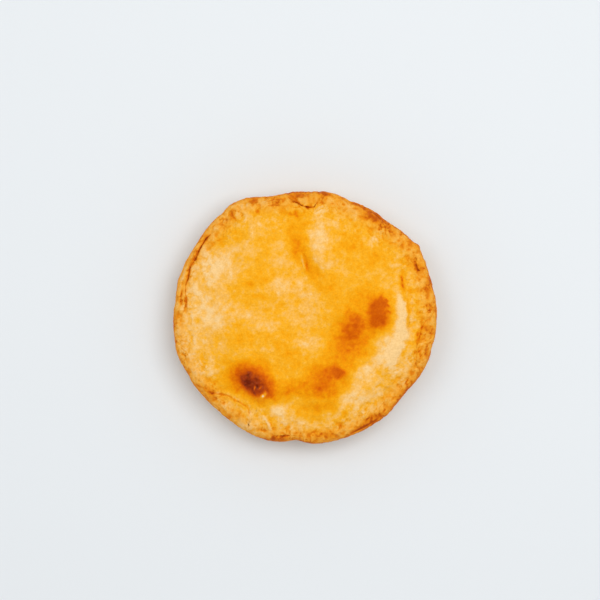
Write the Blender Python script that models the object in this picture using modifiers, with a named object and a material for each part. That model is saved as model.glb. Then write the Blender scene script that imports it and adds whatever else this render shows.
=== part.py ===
"""A small round chicken pie, baked whole and turned out of its tin.

Units are metres, +Z is up, and the origin lies on the table under the middle of the pie.
The pie is uncut: case, filling and lid are one solid. It starts as a turned blank with the
pie's mean section. One function, formed(), then moves every point of the blank to where hand
forming and baking left it: the uneven outline, the tucks where the case's edge is folded over
the lid, the lumps of filling under the lid, the vent slit and the browned blisters.
Places on the lid are given from above, with X to the right and Y away from the eater.
"""

import math

import bpy
from mathutils import Vector, noise

# Driving dimensions: the mean section, from the table up.
RIM_RADIUS = 0.0778  # mean reach of the rim, which is the widest line
RIM_HEIGHT = 0.0205  # height of the widest line
SHOULDER_WIDTH = 0.0062  # the rim rolls over from its crest to the widest line
SHOULDER_RISE = 0.0068
LID_CROWN = 0.0058  # the lid's middle above the rim's crest
LID_START = 0.0025  # how far in from the outline the lid starts to climb
LID_SLOPE = 0.0340  # distance over which it climbs to its flat middle
RIM_OVERHANG = 0.0013  # the rim stands out past the wall that the tin shaped
OVERHANG_RUN = 0.0050  # height over which the wall draws in under the rim
SIDE_LEAN = math.radians(12.0)  # draft of the tin
BASE_CORNER = 0.0035

# The blank: rings along the section and steps round it, then what is kept of its triangles.
STEPS = 288
LID_RINGS = 72
BAND_RINGS = 22
SIDE_RINGS = 22
CORNER_RINGS = 5
BASE_RINGS = 6
TRIANGLES = 10800

# Outline: (waves round the rim, their height, degrees of the first crest), then swells and dents.
OUTLINE_WAVES = (
    (1, 0.00029, -83.4),
    (2, 0.00147, -10.1),
    (3, 0.00081, 17.8),
)
# (degrees, half-width in degrees, how far the rim stands out)
OUTLINE_SWELLS = (
    (13.5, 3.0, -0.0003),
    (31.3, 8.1, 0.0017),
    (32.0, 1.8, 0.0011),
    (49.7, 4.0, -0.0009),
    (68.5, 2.4, -0.0006),
    (78.9, 6.3, 0.0014),
    (96.0, 1.5, 0.0003),
    (107.6, 10.2, -0.0034),
    (116.4, 14.6, 0.0042),
    (124.0, 2.0, 0.0003),
    (128.6, 1.5, -0.0006),
    (137.0, 4.0, 0.0004),
    (147.5, 6.5, -0.0005),
    (164.5, 3.5, 0.0005),
    (173.5, 2.4, -0.0006),
    (198.0, 19.2, 0.0022),
    (195.5, 3.5, 0.0005),
    (206.0, 2.8, -0.0005),
    (246.0, 9.5, 0.0009),
    (253.5, 1.8, 0.0003),
    (265.8, 5.0, -0.0025),
    (316.5, 4.5, -0.0004),
    (322.7, 8.1, -0.0017),
    (341.0, 2.0, 0.0003),
    (346.5, 1.6, -0.0005),
)
BASE_SHARE = 0.35  # the tin held the base rounder than the free rim

# Tucks: the case's edge folded inwards over the lid.
# (middle in degrees, half-width in degrees, width of the fold in its middle, what it gains from
# there to its far end, depth of its crease, height of its lip)
BAND = 0.0045  # width of the rim's edge where there is no fold
TUCKS = (
    (159.0, 24.0, 0.0047, 0.0022, 0.0018, 0.0006),
    (228.5, 14.0, 0.0114, 0.0057, 0.0005, 0.0009),
    (90.3, 7.0, 0.0086, -0.0025, 0.0014, 0.0010),
    (348.0, 12.0, 0.0092, 0.0, 0.0002, 0.0007),
    (24.5, 3.0, 0.0060, 0.0, 0.0010, 0.0005),
)
TUCK_RUN = 0.35  # share of a tuck's half-width over which its crease opens
# Along its run the crease wanders and opens and closes: (length as a share of the radius, by)
CREASE_WANDER = ((0.160, 0.0016), (0.060, 0.0005))
CREASE_PINCH = ((0.140, 0.9), (0.050, 0.5))
CREASE_WIDTH = 0.0009
LIP_WIDTH = 0.0016
LIP_ROUNDING = 0.0006  # the lip rises over this distance
LIP_LEAN = 0.0008  # the lip hangs this far over a crease at least this deep:
LEAN_DEPTH = 0.0009
FOLD_RUN = 0.0035  # the fold's thickness fades over this distance from its lip
FOLD_KEPT = 0.4  # to this share of it

# Seams: the lid's cut edge shows on top of the rim where nothing is folded over it.
# (middle in degrees, half-width in degrees, distance in from the outline, depth)
TOP_SEAMS = (
    (299.0, 9.0, 0.0019, 0.0009),
    (259.5, 4.0, 0.0037, 0.0008),
    (62.0, 15.0, 0.0014, 0.0005),
    (168.0, 9.0, 0.0036, 0.0007),
)
# Everywhere else lid and case meet in a groove round the side, under the rim.
SIDE_SEAM_HEIGHT = 0.0172
SIDE_SEAM_DEPTH = 0.0007
SEAM_WANDER = ((0.0240, 0.0026), (0.0070, 0.0006))
SEAM_WIDTH = 0.0007

# Lid relief seen from above: (x, y, half-length, half-width, degrees of its length, height, edge)
# An edge of 1 is a soft swell and 2 is a blister with steep sides and a flat top.
LID_MOUNDS = (
    (-0.0288, -0.0406, 0.0114, 0.0072, -47.0, 0.0020, 2),  # burnt blister
    (0.0453, 0.0015, 0.0118, 0.0064, 82.0, 0.0015, 2),  # brown blister
    (0.0284, -0.0072, 0.0072, 0.0056, 60.0, 0.0009, 2),
    (0.0240, -0.0345, 0.0036, 0.0028, 10.0, 0.0009, 2),
    (0.0150, -0.0400, 0.0080, 0.0060, 30.0, 0.0005, 1),
    (0.0110, 0.0420, 0.0150, 0.0060, 84.0, 0.0008, 1),  # swell right of the vent
    (0.0400, 0.0440, 0.0060, 0.0045, 70.0, 0.0006, 1),
    (-0.0440, 0.0180, 0.0260, 0.0180, 80.0, 0.0009, 1),  # smooth left side
    (-0.0100, -0.0590, 0.0085, 0.0040, -8.0, 0.0009, 1),
    (0.0250, -0.0575, 0.0048, 0.0028, 50.0, 0.0008, 1),
    (-0.0010, 0.0330, 0.0130, 0.0065, -80.0, -0.0017, 1),  # dip round the vent
    (-0.0080, 0.0540, 0.0140, 0.0048, 85.0, -0.0008, 1),
    (0.0070, 0.0250, 0.0060, 0.0040, -60.0, -0.0007, 1),
    (0.0340, -0.0200, 0.0300, 0.0125, 57.0, -0.0014, 1),  # valley where the egg wash ran
    (0.0040, -0.0560, 0.0080, 0.0035, 0.0, -0.0006, 1),
    (-0.0430, 0.0610, 0.0030, 0.0026, 20.0, -0.0009, 1),
    (-0.0255, 0.0615, 0.0045, 0.0030, -15.0, -0.0006, 1),
    (-0.0224, -0.0647, 0.0055, 0.0010, -62.0, 0.0010, 1),  # ridge at the end of the wide fold
    (-0.0742, 0.0142, 0.0022, 0.0006, 82.0, -0.0010, 1),  # cracks below the long crease
    (-0.0715, 0.0036, 0.0030, 0.0006, 95.0, -0.0010, 1),
    (-0.0068, 0.0716, 0.0042, 0.0008, -42.0, -0.0007, 1),  # far fold's edge runs to the outline
)
# Long low ridges (and grooves) that follow the rim: (radius, from, to in degrees, half-width, height)
LID_ARCS = (
    (0.0575, -62.0, 16.0, 0.0042, 0.0012),
    (0.0638, -16.0, 30.0, 0.0014, -0.0009),
)
ARC_FADE = 9.0

# Vent: a short knife slit, its near lip curled up.
VENT = (0.0004, 0.0325)
VENT_DIRECTION = math.radians(-75.0)
VENT_HALF_LENGTH = 0.0046
VENT_HALF_WIDTH = 0.0007
VENT_DEPTH = 0.0014
VENT_LIP = 0.0010
VENT_LIP_PLACE = 0.0015  # the lip's crest beside the slit's middle

# Unevenness that follows no plan: (size of the lumps, their height)
FILLING_LUMPS = ((0.0200, 0.0011), (0.0085, 0.0004))
RIM_CRAGS = ((0.0060, 0.00100), (0.0029, 0.00040))
CRAG_REACH = 0.0200  # how far in from the outline the crust is craggy
CRAG_SIDE = (-12.0, 0.35)  # the rim is craggiest towards this many degrees, by this share
SIDE_CRAGS = ((0.0120, 0.0009), (0.0042, 0.0004))
SIDE_FLATTENING = 1.6  # lumps on the wall are longer than they are high, by this factor
RIM_WAVES = ((0.0300, 0.0013),)  # the crest's rise and fall
NOISE_SEED = Vector((3.7, 1.3, 5.1))

# Colour of the baked crust, for the viewport.
CRUST_COLOUR = (0.80, 0.42, 0.09, 1.0)
CRUST_ROUGHNESS = 0.45


def smooth_step(share):
    """0 below 0 and 1 above 1, with a smooth climb between."""
    share = min(1.0, max(0.0, share))
    return share * share * (3.0 - 2.0 * share)


def turn_between(angle, middle):
    """Degrees from middle to angle, from -180 to 180."""
    return (math.degrees(angle) - middle + 180.0) % 360.0 - 180.0


def uneven(point, layers):
    """Sum of noise layers at a point, each (size, height)."""
    return sum(height * noise.noise(point / size + NOISE_SEED) for size, height in layers)


def outline(angle):
    """The rim's reach in a direction."""
    reach = RIM_RADIUS
    for waves, height, crest in OUTLINE_WAVES:
        reach += height * math.cos(waves * math.radians(turn_between(angle, crest)))
    for middle, half_width, height in OUTLINE_SWELLS:
        reach += height * math.exp(-((turn_between(angle, middle) / half_width) ** 2))
    return reach


def tuck_at(angle):
    """(width of the fold, depth of its crease, height of its lip) in a direction."""
    band, depth, lip = BAND, 0.0, 0.0
    around = Vector((math.cos(angle), math.sin(angle), 0.0))
    for middle, half_width, fold, slant, crease_depth, lip_height in TUCKS:
        share = turn_between(angle, middle) / half_width
        if abs(share) < 1.0:
            pressed = smooth_step((1.0 - abs(share)) / TUCK_RUN)
            band += (fold - BAND) * math.sqrt(1.0 - share * share)
            band += pressed * (slant * share + uneven(around, CREASE_WANDER))
            depth = crease_depth * pressed * max(0.0, 1.0 + uneven(around, CREASE_PINCH))
            lip = lip_height * pressed
    return band, depth, lip


def seam_height(from_edge, angle):
    """How far the seams on top let the rim down at a distance in from the outline."""
    height = 0.0
    for middle, half_width, seam, depth in TOP_SEAMS:
        share = abs(turn_between(angle, middle)) / half_width
        opened = smooth_step((1.0 - share) / TUCK_RUN)
        height -= depth * opened * math.exp(-(((from_edge - seam) / SEAM_WIDTH) ** 2))
    return height


def top_height(from_edge):
    """Height of the mean section's top at a distance in from the outline."""
    share = 1.0 - min(1.0, max(0.0, from_edge / SHOULDER_WIDTH))
    shoulder = SHOULDER_RISE * math.sqrt(1.0 - share * share)
    climb = smooth_step((from_edge - LID_START) / LID_SLOPE)
    return RIM_HEIGHT + shoulder + LID_CROWN * climb


def mound_height(x, y, mound):
    """Height that one mound adds at a place on the lid."""
    middle_x, middle_y, half_length, half_width, degrees, height, edge = mound
    turn = math.radians(degrees)
    along = (x - middle_x) * math.cos(turn) + (y - middle_y) * math.sin(turn)
    across = (y - middle_y) * math.cos(turn) - (x - middle_x) * math.sin(turn)
    squared = (along / half_length) ** 2 + (across / half_width) ** 2
    return height * math.exp(-(squared**edge))


def arc_height(radius, angle, arc):
    """Height that one ridge along the rim adds."""
    arc_radius, first, last, half_width, height = arc
    middle, reach = (first + last) / 2.0, (last - first) / 2.0
    beyond = abs(turn_between(angle, middle)) - reach + ARC_FADE
    fade = 1.0 - smooth_step(beyond / ARC_FADE)
    return height * fade * math.exp(-(((radius - arc_radius) / half_width) ** 2))


def vent_height(x, y):
    """The slit cut in the lid, with its lip on the left."""
    along = (x - VENT[0]) * math.cos(VENT_DIRECTION) + (y - VENT[1]) * math.sin(VENT_DIRECTION)
    across = (x - VENT[0]) * math.sin(VENT_DIRECTION) - (y - VENT[1]) * math.cos(VENT_DIRECTION)
    ends = math.exp(-((along / VENT_HALF_LENGTH) ** 4))
    slit = -VENT_DEPTH * math.exp(-((across / VENT_HALF_WIDTH) ** 2))
    lip = VENT_LIP * math.exp(-(((across - VENT_LIP_PLACE) / VENT_HALF_WIDTH) ** 2))
    return ends * (slit + lip)


def formed_top(radius, angle):
    """Where baking left a point of the blank's top."""
    reach = outline(angle)
    band, depth, lip = tuck_at(angle)
    crease = reach - band
    blank_crease = RIM_RADIUS - BAND
    if radius < blank_crease:
        radius *= crease / blank_crease
    else:
        radius = crease + (radius - blank_crease) * band / BAND
    from_edge = reach - radius
    beyond_crease = radius - crease
    x, y = radius * math.cos(angle), radius * math.sin(angle)

    height = top_height(from_edge)
    height += sum(mound_height(x, y, mound) for mound in LID_MOUNDS)
    height += sum(arc_height(radius, angle, arc) for arc in LID_ARCS)
    height += vent_height(x, y) + seam_height(from_edge, angle)
    height += uneven(Vector((x, y, 0.0)), FILLING_LUMPS)
    edge_share = smooth_step(from_edge / SHOULDER_WIDTH)
    craggiest, more = CRAG_SIDE
    craggy = edge_share * (1.0 - smooth_step(from_edge / CRAG_REACH))
    craggy *= 1.0 + more * math.cos(math.radians(turn_between(angle, craggiest)))
    height += craggy * uneven(Vector((x, y, 0.0)), RIM_CRAGS)
    height += edge_share * uneven(Vector((x, y, 0.0)), RIM_WAVES)

    height -= depth * math.exp(-((beyond_crease / CREASE_WIDTH) ** 2))
    if beyond_crease > 0.0:
        fold = FOLD_KEPT + (1.0 - FOLD_KEPT) * math.exp(-beyond_crease / FOLD_RUN)
        height += lip * smooth_step(beyond_crease / LIP_ROUNDING) * fold * edge_share
        if beyond_crease < LIP_WIDTH and depth > 0.0:
            share = smooth_step(depth / LEAN_DEPTH)
            radius -= LIP_LEAN * share * math.sin(math.pi * beyond_crease / LIP_WIDTH)
    return radius, height


def formed_side(radius, angle, height):
    """Where baking left a point of the blank's side or base. The base stays flat."""
    share = smooth_step(height / RIM_HEIGHT)
    follow = BASE_SHARE + (1.0 - BASE_SHARE) * share
    radius *= 1.0 + follow * (outline(angle) / RIM_RADIUS - 1.0)
    flattened = SIDE_FLATTENING * height
    place = Vector((radius * math.cos(angle), radius * math.sin(angle), flattened))
    foot = smooth_step(height / BASE_CORNER - 0.5)
    under_rim = smooth_step((RIM_HEIGHT - height) / OVERHANG_RUN)
    crags = foot * under_rim * uneven(place, SIDE_CRAGS)
    seam = SIDE_SEAM_HEIGHT + uneven(Vector((place.x, place.y, 0.0)), SEAM_WANDER)
    groove = foot * SIDE_SEAM_DEPTH * math.exp(-(((height - seam) / SEAM_WIDTH) ** 2))
    return radius + crags - groove


def formed(point):
    """Where forming and baking left a point of the blank."""
    radius, angle = math.hypot(point.x, point.y), math.atan2(point.y, point.x)
    if point.z > RIM_HEIGHT - 1e-6:
        radius, height = formed_top(radius, angle)
    else:
        height = point.z
        radius = formed_side(radius, angle, height)
    return Vector((radius * math.cos(angle), radius * math.sin(angle), height))


def side_radius(drop):
    """Reach of the mean section's wall at a drop below the widest line."""
    return RIM_RADIUS - drop * math.tan(SIDE_LEAN) - RIM_OVERHANG * smooth_step(drop / OVERHANG_RUN)


def section():
    """(radius, height) along the mean section: lid's middle, rim, wall, base's middle."""
    lid_radius = RIM_RADIUS - BAND
    shares = [ring / LID_RINGS for ring in range(LID_RINGS)]
    reaches = [lid_radius * (share + math.sin(math.pi / 2.0 * share)) / 2.0 for share in shares]
    shares = [ring / BAND_RINGS for ring in range(BAND_RINGS + 1)]
    reaches += [lid_radius + BAND * (1.0 - math.cos(math.pi * share)) / 2.0 for share in shares]
    points = [(reach, top_height(RIM_RADIUS - reach)) for reach in reaches]

    for ring in range(1, SIDE_RINGS):
        drop = (RIM_HEIGHT - BASE_CORNER) * ring / SIDE_RINGS
        points.append((side_radius(drop), RIM_HEIGHT - drop))
    side_foot = side_radius(RIM_HEIGHT - BASE_CORNER)
    for ring in range(CORNER_RINGS + 1):
        turn = math.pi / 2.0 * ring / CORNER_RINGS
        reach = side_foot - BASE_CORNER * (1.0 - math.cos(turn))
        points.append((reach, BASE_CORNER * (1.0 - math.sin(turn))))
    base_radius = side_foot - BASE_CORNER
    points += [(base_radius * (1.0 - ring / BASE_RINGS), 0.0) for ring in range(1, BASE_RINGS + 1)]
    return points


def turned(name, points, steps):
    """A closed mesh turned about Z from a section that runs down its outer side."""
    line = bpy.data.meshes.new(name)
    edges = [(index, index + 1) for index in range(len(points) - 1)]
    line.from_pydata([(radius, 0.0, height) for radius, height in points], edges, [])
    blank = bpy.data.objects.new(name, line)
    bpy.context.collection.objects.link(blank)
    screw = blank.modifiers.new("turn", "SCREW")
    screw.steps = steps
    screw.render_steps = steps
    screw.use_merge_vertices = True
    screw.merge_threshold = 0.00001
    graph = bpy.context.evaluated_depsgraph_get()
    mesh = bpy.data.meshes.new_from_object(blank.evaluated_get(graph))
    bpy.data.objects.remove(blank)
    bpy.data.meshes.remove(line)
    return mesh


def crust_material():
    """Golden egg-washed crust."""
    material = bpy.data.materials.new("crust")
    material.use_nodes = True
    shader = material.node_tree.nodes["Principled BSDF"]
    shader.inputs["Base Color"].default_value = CRUST_COLOUR
    shader.inputs["Roughness"].default_value = CRUST_ROUGHNESS
    shader.inputs["Metallic"].default_value = 0.0
    return material


def make_pie(collection):
    """The whole pie as one object."""
    mesh = turned("pie", section(), STEPS)
    for vertex in mesh.vertices:
        vertex.co = formed(vertex.co)
    mesh.shade_smooth()
    mesh.materials.append(crust_material())
    pie = bpy.data.objects.new("pie", mesh)
    collection.objects.link(pie)
    triangles = sum(len(face.vertices) - 2 for face in mesh.polygons)
    thin = pie.modifiers.new("fewer faces where the crust is plain", "DECIMATE")
    thin.ratio = TRIANGLES / triangles
    return pie


def main():
    for old in list(bpy.data.objects):
        bpy.data.objects.remove(old)
    collection = bpy.data.collections.new("chicken_pie")
    bpy.context.scene.collection.children.link(collection)
    make_pie(collection)


main()
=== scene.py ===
import math

import bmesh
import bpy
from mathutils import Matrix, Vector, noise


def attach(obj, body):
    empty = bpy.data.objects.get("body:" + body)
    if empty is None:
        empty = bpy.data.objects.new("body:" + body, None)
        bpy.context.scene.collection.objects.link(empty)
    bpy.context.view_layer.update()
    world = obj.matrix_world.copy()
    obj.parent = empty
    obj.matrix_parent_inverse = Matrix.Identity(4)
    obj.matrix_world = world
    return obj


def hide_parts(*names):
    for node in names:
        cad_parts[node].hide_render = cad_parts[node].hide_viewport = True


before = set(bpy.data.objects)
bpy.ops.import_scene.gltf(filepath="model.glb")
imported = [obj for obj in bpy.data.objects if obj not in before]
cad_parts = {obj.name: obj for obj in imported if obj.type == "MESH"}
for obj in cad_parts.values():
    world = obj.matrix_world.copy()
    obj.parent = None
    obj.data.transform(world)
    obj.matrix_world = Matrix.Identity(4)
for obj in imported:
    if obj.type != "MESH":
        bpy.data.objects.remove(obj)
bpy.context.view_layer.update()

# The pastry's form: a double crust, pressed by hand round a filling and baked in a shallow tin.
# It is one closed skin: the lid is a disc of rolled dough, and the wall and the base are drawn
# down from its edge. Metres, the table at z = 0, X to the right and Y away from the eater.
RIM_RADIUS = 0.0778  # mean reach of the rim, which is the widest line
RIM_HEIGHT = 0.0205
SHOULDER_WIDTH = 0.0062  # the rim rolls over from its crest to the widest line
SHOULDER_RISE = 0.0068
LID_CROWN = 0.0058  # the lid's middle above the rim's crest
LID_START = 0.0025  # how far in from the outline the lid starts to climb
LID_SLOPE = 0.0340  # distance over which it climbs

# Waves round the rim (times round, height, degrees of the first crest), then single swells and
# dents (degrees, half-width in degrees, height).
OUTLINE_WAVES = (
    (1, 0.00029, -83.4),
    (2, 0.00147, -10.1),
    (3, 0.00081, 17.8),
)
OUTLINE_SWELLS = (
    (13.5, 3.0, -0.0003),
    (31.3, 8.1, 0.0017),
    (32.0, 1.8, 0.0011),
    (49.7, 4.0, -0.0009),
    (68.5, 2.4, -0.0006),
    (78.9, 6.3, 0.0014),
    (96.0, 1.5, 0.0003),
    (107.6, 10.2, -0.0034),
    (116.4, 14.6, 0.0042),
    (124.0, 2.0, 0.0003),
    (128.6, 1.5, -0.0006),
    (137.0, 4.0, 0.0004),
    (147.5, 6.5, -0.0005),
    (164.5, 3.5, 0.0005),
    (173.5, 2.4, -0.0006),
    (198.0, 19.2, 0.0022),
    (195.5, 3.5, 0.0005),
    (206.0, 2.8, -0.0005),
    (246.0, 9.5, 0.0009),
    (253.5, 1.8, 0.0003),
    (265.8, 5.0, -0.0025),
    (316.5, 4.5, -0.0004),
    (322.7, 8.1, -0.0017),
    (341.0, 2.0, 0.0003),
    (346.5, 1.6, -0.0005),
)


def smooth_step(share):
    share = min(1.0, max(0.0, share))
    return share * share * (3.0 - 2.0 * share)


def turn_between(angle, middle):
    return (math.degrees(angle) - middle + 180.0) % 360.0 - 180.0


def outline(angle):
    reach = RIM_RADIUS
    for waves, height, crest in OUTLINE_WAVES:
        reach += height * math.cos(waves * math.radians(turn_between(angle, crest)))
    for middle, half_width, height in OUTLINE_SWELLS:
        reach += height * math.exp(-((turn_between(angle, middle) / half_width) ** 2))
    return reach


def top_height(from_edge):
    share = 1.0 - min(1.0, max(0.0, from_edge / SHOULDER_WIDTH))
    shoulder = SHOULDER_RISE * math.sqrt(1.0 - share * share)
    climb = smooth_step((from_edge - LID_START) / LID_SLOPE)
    return RIM_HEIGHT + shoulder + LID_CROWN * climb


# The tucks: the case's edge folded in over the lid and pressed down, which leaves a crease.
# (middle in degrees, half-width in degrees, width of the fold in its middle, what it gains from
# there to its far end, depth of its crease, height of its lip)
TUCKS = (
    (159.0, 24.0, 0.0047, 0.0022, 0.0018, 0.0006),
    (228.5, 14.0, 0.0114, 0.0057, 0.0005, 0.0009),
    (90.3, 7.0, 0.0086, -0.0025, 0.0014, 0.0010),
    (348.0, 12.0, 0.0092, 0.0, 0.0002, 0.0007),
    (24.5, 3.0, 0.0060, 0.0, 0.0010, 0.0005),
)
BAND = 0.0045  # width of the rim's edge where there is no fold
TUCK_RUN = 0.35  # share of a tuck's half-width over which its crease opens
# Along its run the crease wanders and opens and closes: (length as a share of the radius, by)
CREASE_WANDER = ((0.160, 0.0016), (0.060, 0.0005))
CREASE_PINCH = ((0.140, 0.9), (0.050, 0.5))
NOISE_SEED = Vector((3.7, 1.3, 5.1))


def uneven(point, layers):
    """Sum of noise layers at a point, each (size, height)."""
    return sum(height * noise.noise(point / size + NOISE_SEED) for size, height in layers)


def tuck_at(angle):
    """(width of the fold, depth of its crease, height of its lip) in a direction."""
    band, depth, lip = BAND, 0.0, 0.0
    around = Vector((math.cos(angle), math.sin(angle), 0.0))
    for middle, half_width, fold, slant, crease_depth, lip_height in TUCKS:
        share = turn_between(angle, middle) / half_width
        if abs(share) < 1.0:
            pressed = smooth_step((1.0 - abs(share)) / TUCK_RUN)
            band += (fold - BAND) * math.sqrt(1.0 - share * share)
            band += pressed * (slant * share + uneven(around, CREASE_WANDER))
            depth = crease_depth * pressed * max(0.0, 1.0 + uneven(around, CREASE_PINCH))
            lip = lip_height * pressed
    return band, depth, lip


# The seams: the lid's cut edge, on top of the rim in three places and elsewhere round the side.
# (middle in degrees, half-width in degrees, distance in from the outline, depth)
TOP_SEAMS = (
    (299.0, 9.0, 0.0019, 0.0009),
    (259.5, 4.0, 0.0037, 0.0008),
    (62.0, 15.0, 0.0014, 0.0005),
    (168.0, 9.0, 0.0036, 0.0007),
)
SIDE_SEAM_HEIGHT = 0.0172
SIDE_SEAM_DEPTH = 0.0007
SEAM_WANDER = ((0.0240, 0.0026), (0.0070, 0.0006))
SEAM_WIDTH = 0.0007


def top_seam_depth(from_edge, angle):
    depth_here = 0.0
    for middle, half_width, seam, depth in TOP_SEAMS:
        opened = smooth_step((1.0 - abs(turn_between(angle, middle)) / half_width) / TUCK_RUN)
        depth_here += depth * opened * math.exp(-(((from_edge - seam) / SEAM_WIDTH) ** 2))
    return depth_here


# The lid's relief: blisters where steam lifted the dough, swells and dips of the filling, ridges.
# (x, y, half-length, half-width, degrees, height, edge: 1 is a soft swell, 2 a steep blister)
LID_MOUNDS = (
    (-0.0288, -0.0406, 0.0114, 0.0072, -47.0, 0.0020, 2),  # the burnt blister
    (0.0453, 0.0015, 0.0118, 0.0064, 82.0, 0.0015, 2),  # the brown blister
    (0.0284, -0.0072, 0.0072, 0.0056, 60.0, 0.0009, 2),
    (0.0240, -0.0345, 0.0036, 0.0028, 10.0, 0.0009, 2),
    (0.0150, -0.0400, 0.0080, 0.0060, 30.0, 0.0005, 1),
    (0.0110, 0.0420, 0.0150, 0.0060, 84.0, 0.0008, 1),
    (0.0400, 0.0440, 0.0060, 0.0045, 70.0, 0.0006, 1),
    (-0.0440, 0.0180, 0.0260, 0.0180, 80.0, 0.0009, 1),
    (-0.0100, -0.0590, 0.0085, 0.0040, -8.0, 0.0009, 1),
    (0.0250, -0.0575, 0.0048, 0.0028, 50.0, 0.0008, 1),
    (-0.0010, 0.0330, 0.0130, 0.0065, -80.0, -0.0017, 1),  # the dip round the vent
    (-0.0080, 0.0540, 0.0140, 0.0048, 85.0, -0.0008, 1),
    (0.0070, 0.0250, 0.0060, 0.0040, -60.0, -0.0007, 1),
    (0.0340, -0.0200, 0.0300, 0.0125, 57.0, -0.0014, 1),  # the valley where the wash ran
    (0.0040, -0.0560, 0.0080, 0.0035, 0.0, -0.0006, 1),
    (-0.0430, 0.0610, 0.0030, 0.0026, 20.0, -0.0009, 1),
    (-0.0255, 0.0615, 0.0045, 0.0030, -15.0, -0.0006, 1),
    (-0.0224, -0.0647, 0.0055, 0.0010, -62.0, 0.0010, 1),
    (-0.0742, 0.0142, 0.0022, 0.0006, 82.0, -0.0010, 1),
    (-0.0715, 0.0036, 0.0030, 0.0006, 95.0, -0.0010, 1),
    (-0.0068, 0.0716, 0.0042, 0.0008, -42.0, -0.0007, 1),
)
# Long low ridges and grooves that follow the rim: (radius, from, to in degrees, half-width, height)
LID_ARCS = (
    (0.0575, -62.0, 16.0, 0.0042, 0.0012),
    (0.0638, -16.0, 30.0, 0.0014, -0.0009),
)
ARC_FADE = 9.0  # degrees over which they end
SPOT_REACH = 3.0  # a spot is let go of at this many times its half-width


def spot_share(x, y, middle_x, middle_y, half_length, half_width, degrees, edge):
    """1 in the middle of an oval spot, falling off softly, or steeply where its edge is 2."""
    turn = math.radians(degrees)
    along = (x - middle_x) * math.cos(turn) + (y - middle_y) * math.sin(turn)
    across = (y - middle_y) * math.cos(turn) - (x - middle_x) * math.sin(turn)
    squared = (along / half_length) ** 2 + (across / half_width) ** 2
    return math.exp(-(squared**edge)) if squared < SPOT_REACH**2 else 0.0


def summed(x, y, spots):
    """What spots (x, y, half-length, half-width, degrees, strength, edge) add up to at a place."""
    return sum(strength * spot_share(x, y, *place, edge) for *place, strength, edge in spots)


def arc_share(radius, angle, arc_radius, first, last, half_width):
    beyond = abs(turn_between(angle, (first + last) / 2.0)) - (last - first) / 2.0 + ARC_FADE
    fade = 1.0 - smooth_step(beyond / ARC_FADE)
    return fade * math.exp(-(((radius - arc_radius) / half_width) ** 2))


# The vent: a short knife slit that lets the steam out, its near lip curled up by the heat.
VENT = (0.0004, 0.0325)
VENT_DIRECTION = math.radians(-75.0)
VENT_HALF_LENGTH = 0.0046
VENT_HALF_WIDTH = 0.0007
VENT_DEPTH = 0.0014
VENT_LIP = 0.0010
VENT_LIP_PLACE = 0.0015  # the lip's crest beside the slit's middle


def vent_shares(x, y):
    """How far a place lies in the slit and on its lip."""
    along = (x - VENT[0]) * math.cos(VENT_DIRECTION) + (y - VENT[1]) * math.sin(VENT_DIRECTION)
    across = (x - VENT[0]) * math.sin(VENT_DIRECTION) - (y - VENT[1]) * math.cos(VENT_DIRECTION)
    ends = math.exp(-((along / VENT_HALF_LENGTH) ** 4))
    slit = ends * math.exp(-((across / VENT_HALF_WIDTH) ** 2))
    lip = ends * math.exp(-(((across - VENT_LIP_PLACE) / VENT_HALF_WIDTH) ** 2))
    return slit, lip


# The lid and the rim as hand and oven left them: lumps of filling under the lid, a rim that rises
# and falls, crags in the outer crust, and each tuck's crease and lip. (size, height)
FILLING_LUMPS = ((0.0200, 0.0011), (0.0085, 0.0004))
RIM_WAVES = ((0.0300, 0.0013),)
RIM_CRAGS = ((0.0060, 0.00100), (0.0029, 0.00040))
CRAG_REACH = 0.0200  # how far in from the outline the crust is craggy
CRAG_SIDE = (-12.0, 0.35)  # it is craggiest towards this many degrees, by this share
CREASE_WIDTH = 0.0009
LIP_WIDTH = 0.0016
LIP_ROUNDING = 0.0006  # the lip rises over this distance
LIP_LEAN, LEAN_DEPTH = 0.0008, 0.0009  # it hangs this far over a crease at least this deep
FOLD_RUN, FOLD_KEPT = 0.0035, 0.4  # the fold thins over this distance, to this share


def towards_side(angle, side):
    """1, and more towards one side of the pie: (degrees, how much more there)."""
    middle, more = side
    return 1.0 + more * math.cos(math.radians(turn_between(angle, middle)))


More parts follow.
